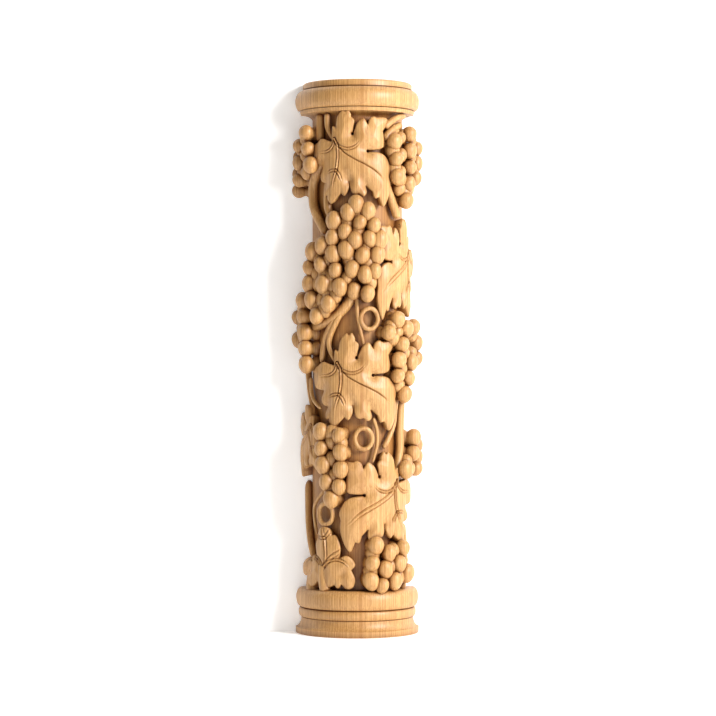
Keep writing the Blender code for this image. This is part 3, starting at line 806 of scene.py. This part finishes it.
def carve_bunch(blank, name, length, strings):
    """A bunch of grapes, berry by berry, joined to one piece."""
    outer = [(turn, shaft_height(share))
             for string in strings for turn, share in string_of_berries(*string)]
    places = [(turn, height, 0, 1) for turn, height in outer]
    places += [(turn, height, INNER_DEPTH, INNER_SIZE) for turn, height in inner_places(outer)]
    berries = []
    for number, (turn, height, depth, share) in enumerate(places):
        berry = blank.copy()
        berry.data = blank.data.copy()
        bpy.context.collection.objects.link(berry)
        size = share * SIZE_RHYTHM[number % len(SIZE_RHYTHM)]
        lean = math.radians(LEAN_RHYTHM[number % len(LEAN_RHYTHM)])
        berry.location = on_column(turn, height, GROUND_RADIUS + BERRY_CENTRE_RISE - depth)
        berry.rotation_euler = (0, lean, math.radians(turn))
        berry.scale = (size, 1, size * length)
        pick(berry)
        bpy.ops.object.transform_apply(location=True, rotation=True, scale=True)
        saw_back(berry, 1 + number % SAW_STEPS)
        berries.append(berry)
    start_afresh()
    for berry in berries:
        berry.select_set(True)
    bpy.context.view_layer.objects.active = berries[0]
    bpy.ops.object.join()
    finish_piece(bpy.context.object, name, SMOOTH_ANGLE)


def smooth_route(knots):
    """Points along a smooth line through the knots."""
    route = []
    last = len(knots) - 1
    for i in range(last):
        near = (max(i - 1, 0), i, i + 1, min(i + 2, last))
        before, start, end, after = (np.array(knots[k], float) for k in near)
        for step in range(ROUTE_STEPS):
            t = step / ROUTE_STEPS
            route.append((2 * start + (end - before) * t
                          + (2 * before - 5 * start + 4 * end - after) * t ** 2
                          + (3 * start - before - 3 * end + after) * t ** 3) / 2)
    route.append(np.array(knots[last], float))
    return route


def carve_tube(name, number, places, radii, closed):
    """A round stem through places in metres, with its radius in mm at each."""
    start_afresh()
    bpy.ops.curve.primitive_bezier_curve_add()
    tube = bpy.context.object
    drawn = tube.data
    drawn.splines.clear()
    drawn.dimensions = "3D"
    drawn.bevel_depth = MM
    drawn.bevel_resolution = TUBE_SIDES
    drawn.use_fill_caps = True
    spline = drawn.splines.new("POLY")
    spline.points.add(len(places) - 1)
    spline.use_cyclic_u = closed
    for point, place, radius in zip(spline.points, places, radii):
        point.co = (*place, 1)
        point.radius = radius
    bpy.ops.object.convert(target="MESH")
    tube = bpy.context.object
    bpy.ops.object.mode_set(mode="EDIT")
    bpy.ops.mesh.select_all(action="SELECT")
    bpy.ops.mesh.remove_doubles(threshold=TUBE_WELD)
    bpy.ops.object.mode_set(mode="OBJECT")
    saw_back(tube, SAW_STEPS + number)
    finish_piece(tube, f"{name}_{number}", TUBE_ANGLE)


def carve_stem(number, width, rise, taper, knots):
    """A stem along its route, with rounded ends, that tapers towards the far one."""
    route = smooth_route(knots)
    middle = GROUND_RADIUS + rise - width / 2
    places, radii = [], []
    for step, (turn, share) in enumerate(route):
        along = step / (len(route) - 1)
        end = min(step, len(route) - 1 - step) / END_STEPS
        round_end = math.sqrt(1 - max(0, 1 - end) ** 2) if end < 1 else 1
        places.append(on_column(turn, shaft_height(share), middle))
        radii.append(width / 2 * (1 - (1 - taper) * along) * max(round_end, BLUNT_END))
    carve_tube("stem", number, places, radii, False)


def carve_ring(number, turn, share):
    """A tendril curled into a ring."""
    places = []
    radius = GROUND_RADIUS + RING_RISE
    for step in range(RING_STEPS):
        angle = 2 * math.pi * step / RING_STEPS
        aside = math.degrees((RING_WIDTH - RING_TUBE) / 2 * math.cos(angle) / radius)
        up = (RING_HEIGHT - RING_TUBE) / 2 * math.sin(angle)
        places.append(on_column(turn + aside, shaft_height(share) + up, radius - RING_TUBE / 2))
    carve_tube("tendril_ring", number, places, [RING_TUBE / 2] * RING_STEPS, True)


def build_stage():
    """White floor, and a white wall just behind the column."""
    start_afresh()
    bpy.ops.mesh.primitive_plane_add(size=STAGE_SIZE, location=(0, 0, 0))
    floor = bpy.context.object
    floor.name = "floor"
    floor.data.materials.append(white_paint(False))
    bpy.ops.mesh.primitive_plane_add(size=STAGE_SIZE, location=(0, BACK + MM, 0),
                                     rotation=(math.pi / 2, 0, 0))
    wall = bpy.context.object
    wall.name = "wall"
    wall.data.materials.append(white_paint(True))


def area_light(name, place, target, size, power, colour):
    """Square lamp of a size in metres and a power in watts, turned to its target."""
    lamp = bpy.data.lights.new(name, "AREA")
    lamp.size = size
    lamp.energy = power
    lamp.color = to_linear(colour)[:3]
    light = bpy.data.objects.new(name, lamp)
    bpy.context.scene.collection.objects.link(light)
    light.location = place
    light.rotation_euler = (Vector(target) - Vector(place)).to_track_quat("-Z", "Y").to_euler()


def light_and_camera():
    """One soft lamp to the right of the camera, a dim warm sky and the camera of the photograph."""
    middle = (0, BACK, HEIGHT / 2)
    area_light("key", KEY_PLACE, middle, KEY_SIZE, KEY_POWER, KEY_COLOUR)
    world = bpy.data.worlds.new("studio")
    world.use_nodes = True
    background = world.node_tree.nodes["Background"]
    background.inputs["Color"].default_value = to_linear(SKY_COLOUR)
    background.inputs["Strength"].default_value = SKY_STRENGTH
    scene = bpy.context.scene
    scene.world = world
    scene.view_settings.view_transform = "Standard"

    lens = bpy.data.cameras.new("camera")
    lens.lens = CAMERA_LENS
    lens.sensor_width = CAMERA_SENSOR
    camera = bpy.data.objects.new("camera", lens)
    scene.collection.objects.link(camera)
    camera.location = (CAMERA_ASIDE, BACK - CAMERA_DISTANCE, CAMERA_HEIGHT)
    camera.rotation_euler = (math.pi / 2, 0, 0)
    scene.camera = camera


WOOD = fine_sanded_beech()
turn_body()
for number, leaf in enumerate(LEAVES, 1):
    carve_leaf(number, *leaf)
blank = berry_blank()
for number, (length, strings) in enumerate(BUNCHES, 1):
    carve_bunch(blank, f"grapes_{number}", length, strings)
bpy.data.objects.remove(blank)
for number, stem in enumerate(STEMS, 1):
    carve_stem(number, *stem)
for number, ring in enumerate(RINGS, 1):
    carve_ring(number, *ring)
build_stage()
light_and_camera()
